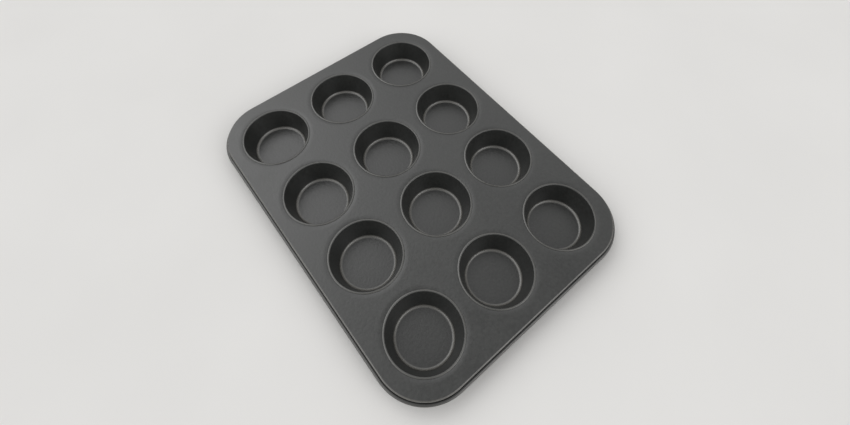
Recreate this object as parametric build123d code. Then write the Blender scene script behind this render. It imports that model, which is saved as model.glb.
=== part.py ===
from build123d import *
import math
import os

os.makedirs("parts", exist_ok=True)

# Muffin tin: twelve drawn cups seamed into a stamped tray frame whose edge is
# rolled over a steel wire.  Millimetres, +Z up.  X runs along the long side
# (four rows of cups), Y along the short side (three cups to a row).  The
# origin is on the surface the tin stands on, under the middle of the frame.

# ---------------------------------------------------------------- dimensions
LENGTH = 350.0            # over the rolled bead, along X
WIDTH = 265.0             # over the rolled bead, along Y
BEAD_CORNER_R = 47.6      # corner radius of the bead's outer edge, in plan

CUP_DEPTH = 22.3          # from the plate's top face to the cup's inner floor
CUP_SHEET = 0.5           # thickness of a cup's sheet
PLATE_TOP = CUP_DEPTH + CUP_SHEET      # height of the plate's top face

ROW_X = [-122.88, -39.68, 39.68, 122.88]   # centres of the four rows
COL_Y = [81.66, 0.0, -81.66]               # centres of the three cups of a row

# cup, as radius from its own axis and height above the plate's top face
WALL_DEG = 16.7           # the wall's lean from vertical
FLOOR_FILLET = 3.0        # inner radius between floor and wall
HOOK_R = 33.45            # radius of the crest of the rim hook
HOOK_Z = -0.8             # height of the centre of the hook's first bend
HOOK_OUT = 1.0            # outer radius of that bend
HOOK_FALL = 20.0          # beyond the crest the hook slopes down this steeply ...
HOOK_EDGE = 34.3          # ... to this radius, where it turns down
HOOK_EDGE_R = 0.35        # outer radius of that second bend
HOOK_LEG_END = -1.65      # where the hook's outer leg ends

# frame
FRAME_SHEET = 0.6         # thickness of the frame's sheet
COLLAR_IN = 33.2          # inner radius of the upturned collar in each hole
COLLAR_TOP = -0.55        # top edge of the collar, inside the cup's hook
CHANNEL_FLOOR = -1.75     # upper face of the channel that takes the hook's leg
CHANNEL_OUT = 34.63       # outer radius of the channel
CHANNEL_EDGE_R = 0.25     # its upper edge is rounded over by this much
SINK_OUT = 38.9           # from here inwards the plate curves gently down
SINK_RADIUS = 25.0        # to the channel, on this radius

EDGE_BEND = 1.5           # outer bend radius between the plate and the skirt
CURL_IN = 1.15            # inner radius of the curl round the wire
CURL_Z = -6.3             # height of the curl's centre
CURL_END_DEG = 122.0      # where the curl stops, just short of the skirt

# reinforcing wire
WIRE_D = 2.2
WIRE_GAP = 1.0            # the butt gap between the wire's two ends

# ------------------------------------------------------------------- derived
CURL_OUT = CURL_IN + FRAME_SHEET
CORNER_X = LENGTH / 2 - BEAD_CORNER_R      # corner centres, in plan
CORNER_Y = WIDTH / 2 - BEAD_CORNER_R
CURL_D = BEAD_CORNER_R - CURL_OUT          # curl centre from a corner centre
SKIRT_OUT = CURL_D - CURL_IN               # skirt faces from a corner centre
SKIRT_IN = CURL_D - CURL_OUT
FLAT_D = SKIRT_OUT - EDGE_BEND             # where the flat plate ends
BEND_IN = EDGE_BEND - FRAME_SHEET


def on_circle(c, r, deg):
    a = math.radians(deg)
    return (c[0] + r * math.cos(a), c[1] + r * math.sin(a))


def arc(c, r, a0, a1):
    """Circular arc about c from angle a0 to a1, in degrees."""
    return ThreePointArc(on_circle(c, r, a0), on_circle(c, r, (a0 + a1) / 2),
                         on_circle(c, r, a1))


def section(edges):
    """Closed outline in the vertical plane: local x is radius, local y is up."""
    return Plane.XZ * make_face(edges)


# ----------------------------------------------------------------------- cup
def make_cup():
    """One drawn cup: flat floor, leaning wall and a downturned rim hook."""
    a = math.radians(WALL_DEG)
    f = math.radians(HOOK_FALL)
    t = CUP_SHEET
    hook = (HOOK_R, HOOK_Z)
    hook_in = HOOK_OUT - t
    fz = -CUP_DEPTH + FLOOR_FILLET
    # the wall is tangent to the floor fillet and to the hook's first bend
    fr = HOOK_R - (HOOK_OUT + FLOOR_FILLET + (HOOK_Z - fz) * math.sin(a)) / math.cos(a)
    fillet_c = (fr, fz)
    outer_fillet = FLOOR_FILLET + t
    top = 180 - WALL_DEG
    fall = 90 - HOOK_FALL
    start = on_circle(hook, HOOK_OUT, fall)
    brow = (HOOK_EDGE, start[1] - (HOOK_EDGE - start[0]) * math.tan(f))
    edge_c = (brow[0] - HOOK_EDGE_R * math.sin(f), brow[1] - HOOK_EDGE_R * math.cos(f))
    leg_out = edge_c[0] + HOOK_EDGE_R
    leg_in = leg_out - t
    start_in = on_circle(hook, hook_in, fall)
    corner_in = (leg_in, start_in[1] - (leg_in - start_in[0]) * math.tan(f))
    edges = [
        Line((0, -CUP_DEPTH), on_circle(fillet_c, FLOOR_FILLET, -90)),
        arc(fillet_c, FLOOR_FILLET, -90, -WALL_DEG),
        Line(on_circle(fillet_c, FLOOR_FILLET, -WALL_DEG), on_circle(hook, HOOK_OUT, top)),
        arc(hook, HOOK_OUT, top, fall),
        Line(start, brow),
        arc(edge_c, HOOK_EDGE_R, fall, 0),
        Line((leg_out, edge_c[1]), (leg_out, HOOK_LEG_END)),
        Line((leg_out, HOOK_LEG_END), (leg_in, HOOK_LEG_END)),
        Line((leg_in, HOOK_LEG_END), corner_in),
        Line(corner_in, start_in),
        arc(hook, hook_in, fall, top),
        Line(on_circle(hook, hook_in, top), on_circle(fillet_c, outer_fillet, -WALL_DEG)),
        arc(fillet_c, outer_fillet, -WALL_DEG, -90),
        Line(on_circle(fillet_c, outer_fillet, -90), (0, -CUP_DEPTH - t)),
        Line((0, -CUP_DEPTH - t), (0, -CUP_DEPTH)),
    ]
    return revolve(section(edges), axis=Axis.Z, revolution_arc=360)


# --------------------------------------------------------------------- frame
def sink_corner(radius, x, r):
    """Centre and start angle of a bend of radius r between the dip and a wall at x.

    A positive r lies below the dip, for the upper face; the dip is the circle of
    the given radius about (SINK_OUT, -SINK_RADIUS)."""
    cx = x + r
    reach = radius - r
    cz = -SINK_RADIUS + math.sqrt(reach ** 2 - (SINK_OUT - cx) ** 2)
    deg = math.degrees(math.atan2(cz + SINK_RADIUS, cx - SINK_OUT))
    return (cx, cz), deg


def make_hole_ring():
    """The pressed edge of one hole: a gentle dip, a channel and a collar."""
    t = FRAME_SHEET
    dip = (SINK_OUT, -SINK_RADIUS)
    wall = CHANNEL_OUT + t
    low = CHANNEL_FLOOR - t
    inner, outer = 0.25, 0.85        # bend radii of the channel's two corners
    e, e_deg = sink_corner(SINK_RADIUS, CHANNEL_OUT, CHANNEL_EDGE_R)
    u, u_deg = sink_corner(SINK_RADIUS - t, wall, 0.15)
    edges = [
        arc(dip, SINK_RADIUS, 90, e_deg),
        arc(e, CHANNEL_EDGE_R, e_deg, 180),
        Line((CHANNEL_OUT, e[1]), (CHANNEL_OUT, CHANNEL_FLOOR + inner)),
        arc((CHANNEL_OUT - inner, CHANNEL_FLOOR + inner), inner, 0, -90),
        Line((CHANNEL_OUT - inner, CHANNEL_FLOOR), (COLLAR_IN + t + inner, CHANNEL_FLOOR)),
        arc((COLLAR_IN + t + inner, CHANNEL_FLOOR + inner), inner, 270, 180),
        Line((COLLAR_IN + t, CHANNEL_FLOOR + inner), (COLLAR_IN + t, COLLAR_TOP)),
        Line((COLLAR_IN + t, COLLAR_TOP), (COLLAR_IN, COLLAR_TOP)),
        Line((COLLAR_IN, COLLAR_TOP), (COLLAR_IN, low + outer)),
        arc((COLLAR_IN + outer, low + outer), outer, 180, 270),
        Line((COLLAR_IN + outer, low), (wall - outer, low)),
        arc((wall - outer, low + outer), outer, -90, 0),
        Line((wall, low + outer), (wall, u[1])),
        arc(u, 0.15, 180, u_deg),
        arc(dip, SINK_RADIUS - t, u_deg, 90),
        Line((SINK_OUT, -t), (SINK_OUT, 0)),
    ]
    return revolve(section(edges), axis=Axis.Z, revolution_arc=360)


def edge_section():
    """Bend, skirt and outward curl; radius is measured from a corner centre."""
    bend = (FLAT_D, -EDGE_BEND)
    curl = (CURL_D, CURL_Z)
    end = 360 + CURL_END_DEG
    return section([
        Line((FLAT_D, -FRAME_SHEET), (FLAT_D, 0)),
        arc(bend, EDGE_BEND, 90, 0),
        Line((SKIRT_OUT, -EDGE_BEND), (SKIRT_OUT, CURL_Z)),
        arc(curl, CURL_IN, 180, 330),
        arc(curl, CURL_IN, 330, end),
        Line(on_circle(curl, CURL_IN, end), on_circle(curl, CURL_OUT, end)),
        arc(curl, CURL_OUT, end, 330),
        arc(curl, CURL_OUT, 330, 180),
        Line((SKIRT_IN, CURL_Z), (SKIRT_IN, -EDGE_BEND)),
        arc(bend, BEND_IN, 0, 90),
    ])


def around(face, gap=0.0):
    """Carry a section round the tin's rounded rectangle, as a list of solids.

    gap leaves an opening in the middle of the +Y side."""
    quarter = revolve(face, axis=Axis.Z, revolution_arc=90)
    short = extrude(face, 2 * CORNER_Y, dir=(0, 1, 0))
    pieces = []
    for k, (sx, sy) in enumerate([(1, 1), (-1, 1), (-1, -1), (1, -1)]):
        pieces.append(Pos(sx * CORNER_X, sy * CORNER_Y, 0) * Rot(0, 0, 90 * k) * quarter)
    pieces.append(Pos(CORNER_X, -CORNER_Y, 0) * short)
    pieces.append(Pos(-CORNER_X, CORNER_Y, 0) * Rot(0, 0, 180) * short)
    pieces.append(Pos(-CORNER_X, -CORNER_Y, 0) * Rot(0, 0, 270)
                  * extrude(face, 2 * CORNER_X, dir=(0, 1, 0)))
    if gap:
        half = extrude(face, CORNER_X - gap / 2, dir=(0, 1, 0))
        pieces.append(Pos(CORNER_X, CORNER_Y, 0) * Rot(0, 0, 90) * half)
        pieces.append(Pos(-gap / 2, CORNER_Y, 0) * Rot(0, 0, 90) * half)
    else:
        pieces.append(Pos(CORNER_X, CORNER_Y, 0) * Rot(0, 0, 90)
                      * extrude(face, 2 * CORNER_X, dir=(0, 1, 0)))
    return pieces


def make_frame():
    """Flat plate with twelve pressed holes, a skirt and a rolled bead."""
    plate = extrude(RectangleRounded(2 * (CORNER_X + FLAT_D), 2 * (CORNER_Y + FLAT_D),
                                     FLAT_D), -FRAME_SHEET)
    holes = [Pos(x, y, 0) * Cylinder(SINK_OUT, 4) for x in ROW_X for y in COL_Y]
    ring = make_hole_ring()
    rings = [Pos(x, y, 0) * ring for x in ROW_X for y in COL_Y]
    plate = plate - holes
    return plate + (around(edge_section()) + rings)


# ---------------------------------------------------------------------- wire
def make_wire():
    """Steel wire inside the curl, its ends butted behind the back edge."""
    face = section([
        arc((CURL_D, CURL_Z), WIRE_D / 2, 0, 180),
        arc((CURL_D, CURL_Z), WIRE_D / 2, 180, 360),
    ])
    pieces = around(face, gap=WIRE_GAP)
    return pieces[0] + pieces[1:]


# -------------------------------------------------------------------- export
def save(name, shape):
    shape = Pos(0, 0, PLATE_TOP) * shape
    solids = shape.solids()
    box = shape.bounding_box()
    print(name, "solids", len(solids), "valid", all(s.is_valid for s in solids),
          "volume %.1f" % sum(s.volume for s in solids),
          "size %.2f %.2f %.2f" % (box.size.X, box.size.Y, box.size.Z))
    export_step(solids[0] if len(solids) == 1 else Compound(solids), "parts/" + name + ".step")


cup = make_cup()
save("tray_frame", make_frame())
for row, x in enumerate(ROW_X, 1):
    for col, y in enumerate(COL_Y, 1):
        save("cup_r%d_c%d" % (row, col), Pos(x, y, 0) * cup)
save("rim_wire", make_wire())
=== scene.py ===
import math

import bpy
import numpy as np
from mathutils import Matrix, Vector


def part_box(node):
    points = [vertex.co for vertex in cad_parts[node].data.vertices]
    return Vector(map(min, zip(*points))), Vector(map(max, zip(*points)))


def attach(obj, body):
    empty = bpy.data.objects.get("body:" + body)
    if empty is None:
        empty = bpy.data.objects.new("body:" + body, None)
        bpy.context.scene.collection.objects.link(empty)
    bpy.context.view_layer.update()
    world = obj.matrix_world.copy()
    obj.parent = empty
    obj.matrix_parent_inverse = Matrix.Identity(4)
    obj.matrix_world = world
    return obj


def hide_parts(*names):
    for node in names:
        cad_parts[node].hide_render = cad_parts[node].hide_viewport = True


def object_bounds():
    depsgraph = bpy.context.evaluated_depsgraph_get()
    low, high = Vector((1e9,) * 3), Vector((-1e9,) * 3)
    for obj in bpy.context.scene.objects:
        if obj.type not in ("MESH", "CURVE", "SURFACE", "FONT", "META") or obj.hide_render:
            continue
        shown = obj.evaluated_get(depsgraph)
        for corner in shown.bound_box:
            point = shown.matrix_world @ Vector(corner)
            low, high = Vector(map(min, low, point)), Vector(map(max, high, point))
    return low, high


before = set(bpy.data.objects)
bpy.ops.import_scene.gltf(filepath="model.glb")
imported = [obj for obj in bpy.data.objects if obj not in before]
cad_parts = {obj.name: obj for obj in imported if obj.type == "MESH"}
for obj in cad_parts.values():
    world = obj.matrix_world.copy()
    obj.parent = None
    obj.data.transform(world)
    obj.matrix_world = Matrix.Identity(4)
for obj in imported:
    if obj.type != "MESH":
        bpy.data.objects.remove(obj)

lo_cad, hi_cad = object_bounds()

MM = 0.001
TOP = hi_cad.z / MM - 0.2          # the plate's top face; the cups' rims stand 0.2 proud

scene = bpy.context.scene
scene.view_settings.view_transform = "Standard"
scene.view_settings.look = "None"
scene.view_settings.exposure = 0.0
scene.view_settings.gamma = 1.0

# -------------------------------------------------------------------- camera
cam_data = bpy.data.cameras.new("camera")
cam_data.sensor_fit = "HORIZONTAL"
cam_data.sensor_width = 36.0
cam_data.lens = 36.0 * 450.94 / 850.0
cam_data.shift_x = -0.0006
cam_data.shift_y = -0.0800
cam_data.clip_start, cam_data.clip_end = 0.01, 20.0
cam = bpy.data.objects.new("camera", cam_data)
scene.collection.objects.link(cam)
right = Vector((0.6287851248, 0.7775368396, 0.0081073914))
down = Vector((0.65947346, -0.5277265206, -0.5353498622))
ahead = Vector((-0.4119757545, 0.3419666394, -0.8445914961))
cam.matrix_world = Matrix((
    (right.x, -down.x, -ahead.x, 0.1741749),
    (right.y, -down.y, -ahead.y, -0.1260436),
    (right.z, -down.z, -ahead.z, TOP * MM + 0.3933401),
    (0, 0, 0, 1)))
scene.camera = cam

# ------------------------------------------------------- dimensions, as drawn
WALL_DEG, FLOOR_FILLET, CUP_DEPTH, CUP_SHEET = 16.7, 3.0, 22.3, 0.5
HOOK_R, HOOK_Z, HOOK_OUT, HOOK_FALL = 33.45, -0.8, 1.0, 20.0
HOOK_EDGE, HOOK_EDGE_R, HOOK_LEG_END = 34.45, 0.18, -1.65
SHEET = 0.6
COLLAR_IN, COLLAR_TOP, CHANNEL_FLOOR = 33.2, -0.55, -1.75
CHANNEL_OUT, CHANNEL_EDGE_R, SINK_OUT, SINK_RADIUS = 34.63, 0.12, 38.9, 25.0
EDGE_BEND, CURL_IN, CURL_Z, CURL_END_DEG = 1.5, 1.15, -6.3, 122.0
BEAD_CORNER_R = 47.6
CURL_OUT = CURL_IN + SHEET
CURL_D = BEAD_CORNER_R - CURL_OUT
SKIRT_OUT, SKIRT_IN = CURL_D - CURL_IN, CURL_D - CURL_OUT
FLAT_D = SKIRT_OUT - EDGE_BEND
lo_f, hi_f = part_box("tray_frame")
CORNER_X = hi_f.x / MM - BEAD_CORNER_R
CORNER_Y = hi_f.y / MM - BEAD_CORNER_R
CUP_NODES = [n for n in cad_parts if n.startswith("cup_")]


def centre(node):
    lo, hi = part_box(node)
    return (lo.x + hi.x) / 2 / MM, (lo.y + hi.y) / 2 / MM


# ------------------------------------------------------------- profile paths
class Path:
    """A run of (r, z, normal r, normal z, lightening) points; the surface faces left of travel. The lightening
    stands for rubbed wear together with a painted highlight.
    """

    def __init__(self):
        self.points = []

    def add(self, r, z, nr, nz, wear_and_sheen=0.0):
        if self.points:
            a = self.points[-1]
            if abs(a[0] - r) < 1e-9 and abs(a[1] - z) < 1e-9:
                return
        self.points.append((r, z, nr, nz, wear_and_sheen))

    def line(self, a, b, n=1, wear_and_sheen=0.0):
        dr, dz = b[0] - a[0], b[1] - a[1]
        run = math.hypot(dr, dz)
        for i in range(n + 1):
            t = i / n
            self.add(a[0] + dr * t, a[1] + dz * t, -dz / run, dr / run, wear_and_sheen)

    def arc(self, c, r, a0, a1, n, wear_and_sheen=0.0, rising=False):
        """Counter-clockwise travel faces the centre; clockwise faces away from it.
        The coating is painted lighter most at the middle of a bend, or, rising, at its end: rubbed wear together
        with a painted highlight."""
        side = -1.0 if a1 > a0 else 1.0
        for i in range(n + 1):
            a = math.radians(a0 + (a1 - a0) * i / n)
            self.add(c[0] + r * math.cos(a), c[1] + r * math.sin(a),
                     side * math.cos(a), side * math.sin(a),
                     wear_and_sheen * ((i / n) ** 2 if rising else math.sin(math.pi * i / n)))


def on_circle(c, r, deg):
    a = math.radians(deg)
    return (c[0] + r * math.cos(a), c[1] + r * math.sin(a))


def cup_path():
    """A cup's section, from the middle of its floor over the rim hook and back below."""
    a, f, t = math.radians(WALL_DEG), math.radians(HOOK_FALL), CUP_SHEET
    hook = (HOOK_R, HOOK_Z)
    hook_in = HOOK_OUT - t
    fz = -CUP_DEPTH + FLOOR_FILLET
    fr = HOOK_R - (HOOK_OUT + FLOOR_FILLET + (HOOK_Z - fz) * math.sin(a)) / math.cos(a)
    c, co = (fr, fz), FLOOR_FILLET + t
    up, fall = 180 - WALL_DEG, 90 - HOOK_FALL
    start, start_in = on_circle(hook, HOOK_OUT, fall), on_circle(hook, hook_in, fall)
    brow = (HOOK_EDGE, start[1] - (HOOK_EDGE - start[0]) * math.tan(f))
    edge = (brow[0] - HOOK_EDGE_R * math.sin(f), brow[1] - HOOK_EDGE_R * math.cos(f))
    out = edge[0] + HOOK_EDGE_R
    end = (out - t / 2, HOOK_LEG_END + t / 2)
    r2 = 0.1                               # the sheet's inner side of the second bend
    q = (out - t - r2, start_in[1] - (out - t - r2 - start_in[0]) * math.tan(f) - r2 / math.cos(f))
    p = Path()
    p.line((0, -CUP_DEPTH), (fr, -CUP_DEPTH), 9)
    # the floor fillet ring is painted lighter: a painted highlight, with some rubbed wear
    p.arc(c, FLOOR_FILLET, -90, -WALL_DEG, 9, wear_and_sheen=1.0)
    p.line(on_circle(c, FLOOR_FILLET, -WALL_DEG), on_circle(hook, HOOK_OUT, up), 8)
    # the rim crest and brow are painted lighter: a painted highlight, with some rubbed wear
    p.arc(hook, HOOK_OUT, up, fall, 12, wear_and_sheen=0.5, rising=True)
    p.line(start, brow, 1, wear_and_sheen=0.4)
    p.arc(edge, HOOK_EDGE_R, fall, 0, 6)
    p.line((out, edge[1]), (out, end[1]), 1)
    p.arc(end, t / 2, 0, -180, 6)
    p.line((out - t, end[1]), (out - t, q[1]), 1)
    p.arc(q, r2, 0, fall, 3)
    p.line(on_circle(q, r2, fall), start_in, 1)
    p.arc(hook, hook_in, fall, up, 6)
    p.line(on_circle(hook, hook_in, up), on_circle(c, co, -WALL_DEG), 8)
    p.arc(c, co, -WALL_DEG, -90, 9)
    p.line((fr, -CUP_DEPTH - t), (0, -CUP_DEPTH - t), 9)
    return p.points


def sink_corner(radius, x, r):
    """Centre and start angle of a bend of radius r between the dip and a wall at x."""
    cx = x + r
    cz = -SINK_RADIUS + math.sqrt((radius - r) ** 2 - (SINK_OUT - cx) ** 2)
    return (cx, cz), math.degrees(math.atan2(cz + SINK_RADIUS, cx - SINK_OUT))


def ring_path():
    """From the underside of the plate, round the channel and collar, to the top."""
    t = SHEET
    dip, wall, low, e, u = (SINK_OUT, -SINK_RADIUS), CHANNEL_OUT + SHEET, CHANNEL_FLOOR - SHEET, CHANNEL_EDGE_R, 0.15
    ec, e_deg = sink_corner(SINK_RADIUS, CHANNEL_OUT, e)
    uc, u_deg = sink_corner(SINK_RADIUS - t, wall, u)
    p = Path()
    # underside of the dip, travelling inwards; a concave surface faces its centre
    p.arc(dip, SINK_RADIUS - t, 90, u_deg, 3)
    p.arc(uc, u, u_deg, 180, 3)
    p.line((wall, uc[1]), (wall, low + 0.85), 1)
    p.arc((wall - 0.85, low + 0.85), 0.85, 0, -90, 3)
    p.line((wall - 0.85, low), (COLLAR_IN + 0.85, low), 1)
    p.arc((COLLAR_IN + 0.85, low + 0.85), 0.85, -90, -180, 3)
    lip = 0.12
    p.line((COLLAR_IN, low + 0.85), (COLLAR_IN, COLLAR_TOP - lip), 1)
    p.arc((COLLAR_IN + lip, COLLAR_TOP - lip), lip, 180, 90, 2)
    p.line((COLLAR_IN + lip, COLLAR_TOP), (COLLAR_IN + t - lip, COLLAR_TOP), 1)
    p.arc((COLLAR_IN + t - lip, COLLAR_TOP - lip), lip, 90, 0, 2)
    p.line((COLLAR_IN + t, COLLAR_TOP - lip), (COLLAR_IN + t, CHANNEL_FLOOR + 0.25), 1)
    p.arc((COLLAR_IN + t + 0.25, CHANNEL_FLOOR + 0.25), 0.25, 180, 270, 3)
    p.line((COLLAR_IN + t + 0.25, CHANNEL_FLOOR), (CHANNEL_OUT - 0.25, CHANNEL_FLOOR), 1)
    p.arc((CHANNEL_OUT - 0.25, CHANNEL_FLOOR + 0.25), 0.25, -90, 0, 3)
    p.line((CHANNEL_OUT, CHANNEL_FLOOR + 0.25), (CHANNEL_OUT, ec[1]), 1)
    p.arc(ec, e, 180, e_deg, 5)
    p.arc(dip, SINK_RADIUS, e_deg, 90, 6)
    return p.points


def edge_path():
    """From the flat plate's end, over the bend, down the skirt, round the curl and back."""
    bend, curl = (FLAT_D, -EDGE_BEND), (CURL_D, CURL_Z)
    end = 360 + CURL_END_DEG
    p = Path()
    # the plate's edge bend is painted lighter: a painted highlight line, with some rubbed wear
    p.arc(bend, EDGE_BEND, 90, 0, 9, wear_and_sheen=0.8)
    p.line((SKIRT_OUT, -EDGE_BEND), (SKIRT_OUT, CURL_Z), 2)
    p.arc(curl, CURL_IN, 180, end, 15)
    tip = on_circle(curl, (CURL_IN + CURL_OUT) / 2, end)
    h = SHEET / 2
    p.arc(tip, h, end + 180, end, 4)
    # the bead's outside is painted lighter: a painted highlight, with some rubbed wear
    p.arc(curl, CURL_OUT, end, 180, 24, wear_and_sheen=0.5)
    p.line((SKIRT_IN, CURL_Z), (SKIRT_IN, -EDGE_BEND), 2)
    p.arc(bend, EDGE_BEND - SHEET, 0, 90, 6)
    return p.points


# ------------------------------------------------------------- mesh building
class Mesh:
    def __init__(self):
        self.at, self.normals, self.wear_and_sheen, self.faces, self.seen = [], [], [], [], {}

    def point(self, p, n, wear_and_sheen=0.0):
        key = (round(p[0], 4), round(p[1], 4), round(p[2], 4))
        if key in self.seen:
            return self.seen[key]
        self.seen[key] = len(self.at)
        self.at.append(p)
        self.normals.append(n)
        self.wear_and_sheen.append(wear_and_sheen)
        return len(self.at) - 1

    def quad(self, *ids):
        f = []
        for i in ids:
            if i not in f:
                f.append(i)
        if len(f) > 2:
            self.faces.append(f)

    def object(self, name):
        m = bpy.data.meshes.new(name)
        at = np.array(self.at) * MM
        m.from_pydata(at.tolist(), [], self.faces)
        m.polygons.foreach_set("use_smooth", [True] * len(m.polygons))
        m.validate()
        m.attributes.new("wear_and_sheen", "FLOAT", "POINT").data.foreach_set("value", self.wear_and_sheen)
        m.normals_split_custom_set_from_vertices(
            [tuple(Vector(n).normalized()) for n in self.normals])
        m.update()
        o = bpy.data.objects.new(name, m)
        scene.collection.objects.link(o)
        return o


def lathe(name, path, x, y, n=128):
    """A closed solid of revolution; the path starts and ends on the axis."""
    b = Mesh()
    rows = []
    for r, z, nr, nz, wear_and_sheen in path:
        if r < 1e-9:
            rows.append([b.point((x, y, TOP + z), (0, 0, nz))] * n)
            continue
        row = []
        for j in range(n):
            a = 2 * math.pi * j / n
            c, s = math.cos(a), math.sin(a)
            row.append(b.point((x + r * c, y + r * s, TOP + z), (nr * c, nr * s, nz), wear_and_sheen))
        rows.append(row)
    for i in range(len(rows) - 1):
        for j in range(n):
            k = (j + 1) % n
            b.quad(rows[i][j], rows[i + 1][j], rows[i + 1][k], rows[i][k])
    return b.object(name)


def outline(px, py):
    """Outward normal at a point of the flat plate's rounded outline."""
    cx = min(max(px, -CORNER_X), CORNER_X)
    cy = min(max(py, -CORNER_Y), CORNER_Y)
    dx, dy = px - cx, py - cy
    k = math.hypot(dx, dy)
    return cx, cy, dx / k, dy / k


def tray(name, per=32, rings=3):
    b = Mesh()
    cups = [centre(n) for n in CUP_NODES]
    xs = sorted({round(c[0], 2) for c in cups})
    ys = sorted({round(c[1], 2) for c in cups})
    ex, ey = CORNER_X + FLAT_D, CORNER_Y + FLAT_D
    xb = [-ex] + [(p + q) / 2 for p, q in zip(xs, xs[1:])] + [ex]
    yb = [-ey] + [(p + q) / 2 for p, q in zip(ys, ys[1:])] + [ey]
    ring = ring_path()
    edge = edge_path()
    stations = []
    for ix, x in enumerate(xs):
        for iy, y in enumerate(ys):
            x0, x1, y0, y1 = xb[ix], xb[ix + 1], yb[iy], yb[iy + 1]
            corner = [(x1, y1), (x0, y1), (x0, y0), (x1, y0)]
            key = []
            for k in range(4):              # axis direction, then corner direction
                cx, cy = corner[k]
                key.append(math.radians(90 * k))
                a = math.atan2(cy - y, cx - x)
                key.append(a if a > 0 else a + 2 * math.pi)
            key.append(2 * math.pi)
            angles = []
            for k in range(8):
                m = per // 2
                angles += [key[k] + (key[k + 1] - key[k]) * j / m for j in range(m)]
            rows = {i: [] for i in range(len(ring) + 2 * rings)}
            for a in angles:
                c, s = math.cos(a), math.sin(a)
                reach = min(((x1 - x) / c if c > 1e-9 else 1e9), ((x0 - x) / c if c < -1e-9 else 1e9),
                            ((y1 - y) / s if s > 1e-9 else 1e9), ((y0 - y) / s if s < -1e-9 else 1e9))
                qx, qy = x + c * reach, y + s * reach
                # inside a rounded corner the ray stops on the arc
                kx, ky = math.copysign(CORNER_X, x), math.copysign(CORNER_Y, y)
                if (abs(qx) > CORNER_X and abs(qy) > CORNER_Y
                        and math.hypot(qx - kx, qy - ky) > FLAT_D - 1e-9):
                    ox, oy = x - kx, y - ky
                    h = ox * c + oy * s
                    reach = -h + math.sqrt(h * h - (ox * ox + oy * oy - FLAT_D ** 2))
                    qx, qy = x + c * reach, y + s * reach
                qx, qy = round(qx, 5), round(qy, 5)
                start = ring[0][0]
                sx, sy = x + c * start, y + s * start
                idx = 0
                for m in range(rings):      # underside, from the boundary inwards
                    t = 1 - m / rings
                    rows[idx].append(b.point((sx + (qx - sx) * t, sy + (qy - sy) * t, TOP - SHEET), (0, 0, -1)))
                    idx += 1
                for r, z, nr, nz, wear_and_sheen in ring:
                    rows[idx].append(b.point((x + r * c, y + r * s, TOP + z), (nr * c, nr * s, nz), wear_and_sheen))
                    idx += 1
                for m in range(1, rings + 1):
                    t = m / rings
                    rows[idx].append(b.point((sx + (qx - sx) * t, sy + (qy - sy) * t, TOP), (0, 0, 1)))
                    idx += 1
                edge_hit = (abs(abs(qx) - ex) < 1e-4 or abs(abs(qy) - ey) < 1e-4
                            or (abs(qx) > CORNER_X and abs(qy) > CORNER_Y))
                if edge_hit:
                    stations.append((qx, qy))
            n = len(angles)
            for i in range(len(rows) - 1):
                for j in range(n):
                    k = (j + 1) % n
                    b.quad(rows[i][j], rows[i + 1][j], rows[i + 1][k], rows[i][k])
    # the edge, one section at each station round the outline
    unique = {}
    for q in stations:
        unique[(round(q[0], 3), round(q[1], 3))] = q
    loop = sorted(unique.values(), key=lambda q: math.atan2(q[1], q[0]))
    rows = [[] for _ in edge]
    for qx, qy in loop:
        cx, cy, nx, ny = outline(qx, qy)
        for i, (d, z, nr, nz, wear_and_sheen) in enumerate(edge):
            if i == 0 or i == len(edge) - 1:
                p = (qx, qy, TOP + z)
            else:
                p = (qx + nx * (d - FLAT_D), qy + ny * (d - FLAT_D), TOP + z)
            rows[i].append(b.point(p, (nx * nr, ny * nr, nz), wear_and_sheen))
    n = len(loop)
    for i in range(len(rows) - 1):
        for j in range(n):
            k = (j + 1) % n
            b.quad(rows[i][j], rows[i + 1][j], rows[i + 1][k], rows[i][k])
    return b.object(name)


# ----------------------------------------------------------------- materials
def principled(name):
    m = bpy.data.materials.new(name)
    m.use_nodes = True
    return m, m.node_tree.nodes, m.node_tree.links, m.node_tree.nodes["Principled BSDF"]


def node(nodes, kind, **inputs):
    n = nodes.new(kind)
    for k, v in inputs.items():
        setattr(n, k, v)
    return n


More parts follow.
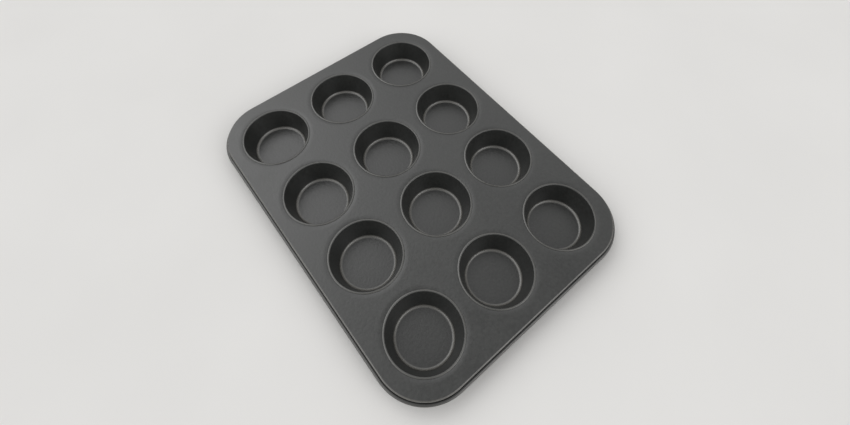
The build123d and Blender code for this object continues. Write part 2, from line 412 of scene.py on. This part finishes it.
def coating(name, base, rough, worn_and_sheen):
    """Dark grey non-stick coating: mottling, fine grain, soft gloss, and bends
    that are painted a little lighter, rubbed wear together with a painted highlight, and are smoother."""
    m, nodes, links, bsdf = principled(name)
    where = node(nodes, "ShaderNodeTexCoord")

    big = node(nodes, "ShaderNodeTexNoise")           # uneven spraying, a few centimetres
    big.inputs["Scale"].default_value = 26.0
    big.inputs["Detail"].default_value = 3.0
    big.inputs["Roughness"].default_value = 0.5
    links.new(where.outputs["Object"], big.inputs["Vector"])

    fine = node(nodes, "ShaderNodeTexNoise")          # grain of the coating
    fine.inputs["Scale"].default_value = 1100.0
    fine.inputs["Detail"].default_value = 2.0
    fine.inputs["Roughness"].default_value = 0.5
    links.new(where.outputs["Object"], fine.inputs["Vector"])

    mid = node(nodes, "ShaderNodeTexNoise")           # mottling, two or three millimetres
    mid.inputs["Scale"].default_value = 420.0
    mid.inputs["Detail"].default_value = 3.0
    mid.inputs["Roughness"].default_value = 0.55
    links.new(where.outputs["Object"], mid.inputs["Vector"])

    half = node(nodes, "ShaderNodeMath", operation="MULTIPLY")
    half.inputs[1].default_value = 0.4
    links.new(big.outputs["Fac"], half.inputs[0])
    both = node(nodes, "ShaderNodeMath", operation="MULTIPLY_ADD")
    both.inputs[1].default_value = 0.6
    links.new(mid.outputs["Fac"], both.inputs[0])
    links.new(half.outputs[0], both.inputs[2])
    ramp = node(nodes, "ShaderNodeValToRGB")
    ramp.color_ramp.elements[0].position = 0.32
    ramp.color_ramp.elements[0].color = tuple(c * 0.62 for c in base) + (1,)
    ramp.color_ramp.elements[1].position = 0.68
    ramp.color_ramp.elements[1].color = tuple(c * 1.38 for c in base) + (1,)
    links.new(both.outputs[0], ramp.inputs["Fac"])

    # this mask carries the bends' lighter colour: a painted highlight together with rubbed wear
    rub_and_sheen = node(nodes, "ShaderNodeAttribute", attribute_name="wear_and_sheen")
    patchy = node(nodes, "ShaderNodeMapRange")        # the painted lightening of the bends comes and goes
    patchy.inputs["From Min"].default_value = 0.3
    patchy.inputs["From Max"].default_value = 0.7
    patchy.inputs["To Min"].default_value = 0.7
    patchy.inputs["To Max"].default_value = 1.0
    links.new(big.outputs["Fac"], patchy.inputs["Value"])
    much = node(nodes, "ShaderNodeMath", operation="MULTIPLY")
    links.new(rub_and_sheen.outputs["Fac"], much.inputs[0])
    links.new(patchy.outputs["Result"], much.inputs[1])
    tint = node(nodes, "ShaderNodeMix", data_type="RGBA")
    links.new(much.outputs[0], tint.inputs[0])
    links.new(ramp.outputs["Color"], tint.inputs[6])
    # bends are painted towards this lighter colour: a painted highlight, with some rubbed wear
    tint.inputs[7].default_value = tuple(worn_and_sheen) + (1,)
    links.new(tint.outputs[2], bsdf.inputs["Base Color"])

    rr = node(nodes, "ShaderNodeMapRange")
    rr.inputs["From Min"].default_value = 0.3
    rr.inputs["From Max"].default_value = 0.7
    rr.inputs["To Min"].default_value = rough - 0.03
    rr.inputs["To Max"].default_value = rough + 0.03
    links.new(big.outputs["Fac"], rr.inputs["Value"])
    smooth = node(nodes, "ShaderNodeMath", operation="MULTIPLY_ADD")
    smooth.inputs[1].default_value = -0.12
    links.new(much.outputs[0], smooth.inputs[0])
    links.new(rr.outputs["Result"], smooth.inputs[2])
    speck = node(nodes, "ShaderNodeMapRange")         # and with the mottling
    speck.inputs["From Min"].default_value = 0.3
    speck.inputs["From Max"].default_value = 0.7
    speck.inputs["To Min"].default_value = -0.04
    speck.inputs["To Max"].default_value = 0.04
    links.new(mid.outputs["Fac"], speck.inputs["Value"])
    gloss = node(nodes, "ShaderNodeMath", operation="ADD")
    links.new(smooth.outputs[0], gloss.inputs[0])
    links.new(speck.outputs["Result"], gloss.inputs[1])
    links.new(gloss.outputs[0], bsdf.inputs["Roughness"])

    skin = node(nodes, "ShaderNodeMath", operation="MULTIPLY_ADD")   # orange peel and grain
    skin.inputs[1].default_value = 0.2
    links.new(fine.outputs["Fac"], skin.inputs[0])
    links.new(mid.outputs["Fac"], skin.inputs[2])
    bump = node(nodes, "ShaderNodeBump")
    relief = node(nodes, "ShaderNodeMath", operation="MULTIPLY_ADD")  # less on rubbed bends
    relief.inputs[1].default_value = -0.27
    relief.inputs[2].default_value = 0.35
    links.new(much.outputs[0], relief.inputs[0])
    links.new(relief.outputs[0], bump.inputs["Strength"])
    bump.inputs["Distance"].default_value = 0.0004
    links.new(skin.outputs[0], bump.inputs["Height"])
    links.new(bump.outputs["Normal"], bsdf.inputs["Normal"])
    bsdf.inputs["IOR"].default_value = 1.78
    return m


# lighter colour painted on the bends: a painted highlight on the fillet rings, rim crests, edge bend and bead, with
# some rubbed wear
WORN_AND_SHEEN = (0.170, 0.164, 0.150)
mat_frame = coating("non_stick_frame", (0.0210, 0.0220, 0.0204), 0.36, WORN_AND_SHEEN)
mat_cup = coating("non_stick_cup", (0.0206, 0.0216, 0.0200), 0.36, WORN_AND_SHEEN)

wire_mat, nodes, links, bsdf = principled("wire_steel")
where = node(nodes, "ShaderNodeTexCoord")
draw = node(nodes, "ShaderNodeTexNoise")
draw.inputs["Scale"].default_value = 900.0
draw.inputs["Detail"].default_value = 3.0
links.new(where.outputs["Object"], draw.inputs["Vector"])
ramp = node(nodes, "ShaderNodeValToRGB")
ramp.color_ramp.elements[0].color = (0.36, 0.35, 0.34, 1)
ramp.color_ramp.elements[1].color = (0.55, 0.54, 0.52, 1)
links.new(draw.outputs["Fac"], ramp.inputs["Fac"])
links.new(ramp.outputs["Color"], bsdf.inputs["Base Color"])
bsdf.inputs["Metallic"].default_value = 1.0
rr = node(nodes, "ShaderNodeMapRange")
rr.inputs["To Min"].default_value = 0.32
rr.inputs["To Max"].default_value = 0.5
links.new(draw.outputs["Fac"], rr.inputs["Value"])
links.new(rr.outputs["Result"], bsdf.inputs["Roughness"])

# -------------------------------------------------------------------- pieces
tray_mesh = tray("tray_frame_sheet")
tray_mesh.data.materials.append(mat_frame)
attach(tray_mesh, "root")
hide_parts("tray_frame")

profile = cup_path()
for name in CUP_NODES:
    x, y = centre(name)
    cup = lathe(name + "_drawn", profile, x, y)
    cup.data.materials.append(mat_cup)
    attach(cup, "root")
    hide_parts(name)

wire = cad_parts["rim_wire"]
for s in wire.material_slots:
    s.material = wire_mat

# --------------------------------------------------------------------- floor
floor_mat, nodes, links, bsdf = principled("floor_card")
where = node(nodes, "ShaderNodeTexCoord")
cloud = node(nodes, "ShaderNodeTexNoise")
cloud.inputs["Scale"].default_value = 5.0
cloud.inputs["Detail"].default_value = 3.0
links.new(where.outputs["Object"], cloud.inputs["Vector"])
ramp = node(nodes, "ShaderNodeValToRGB")
ramp.color_ramp.elements[0].position = 0.3
ramp.color_ramp.elements[0].color = (0.808, 0.798, 0.780, 1)
ramp.color_ramp.elements[1].position = 0.7
ramp.color_ramp.elements[1].color = (0.838, 0.828, 0.810, 1)
links.new(cloud.outputs["Fac"], ramp.inputs["Fac"])
links.new(ramp.outputs["Color"], bsdf.inputs["Base Color"])
bsdf.inputs["Roughness"].default_value = 0.85
fm = bpy.data.meshes.new("floor")
fm.from_pydata([(-3, -3, 0), (3, -3, 0), (3, 3, 0), (-3, 3, 0)], [], [(0, 1, 2, 3)])
fm.materials.append(floor_mat)
floor = bpy.data.objects.new("floor", fm)
scene.collection.objects.link(floor)

# -------------------------------------------------------------------- light
# A plain white studio: an even dome with four broad soft lights in it.
LIGHTS = [                       # azimuth, elevation, strength
    (190, 50, 2.2),
    (20, 35, 2.3),
    (260, 35, 1.85),
    (115, 45, 0.7),
]
SPREAD = 12.0                    # larger is tighter
DOME = 0.2

world = bpy.data.worlds.new("studio")
world.use_nodes = True
nodes, links = world.node_tree.nodes, world.node_tree.links
sky = nodes["Background"]
where = node(nodes, "ShaderNodeTexCoord")
total = None
for azimuth, elevation, strength in LIGHTS:
    a, e = math.radians(azimuth), math.radians(elevation)
    facing = node(nodes, "ShaderNodeVectorMath", operation="DOT_PRODUCT")
    facing.inputs[1].default_value = (math.cos(a) * math.cos(e), math.sin(a) * math.cos(e), math.sin(e))
    links.new(where.outputs["Generated"], facing.inputs[0])
    fall = node(nodes, "ShaderNodeMath", operation="MULTIPLY_ADD")
    fall.inputs[1].default_value = SPREAD
    fall.inputs[2].default_value = -SPREAD
    links.new(facing.outputs["Value"], fall.inputs[0])
    soft = node(nodes, "ShaderNodeMath", operation="EXPONENT")
    links.new(fall.outputs[0], soft.inputs[0])
    add = node(nodes, "ShaderNodeMath", operation="MULTIPLY_ADD")
    links.new(soft.outputs[0], add.inputs[0])
    add.inputs[1].default_value = strength
    add.inputs[2].default_value = DOME
    if total is not None:
        links.new(total, add.inputs[2])
    total = add.outputs[0]
links.new(total, sky.inputs["Color"])
sky.inputs["Strength"].default_value = 1.0
scene.world = world
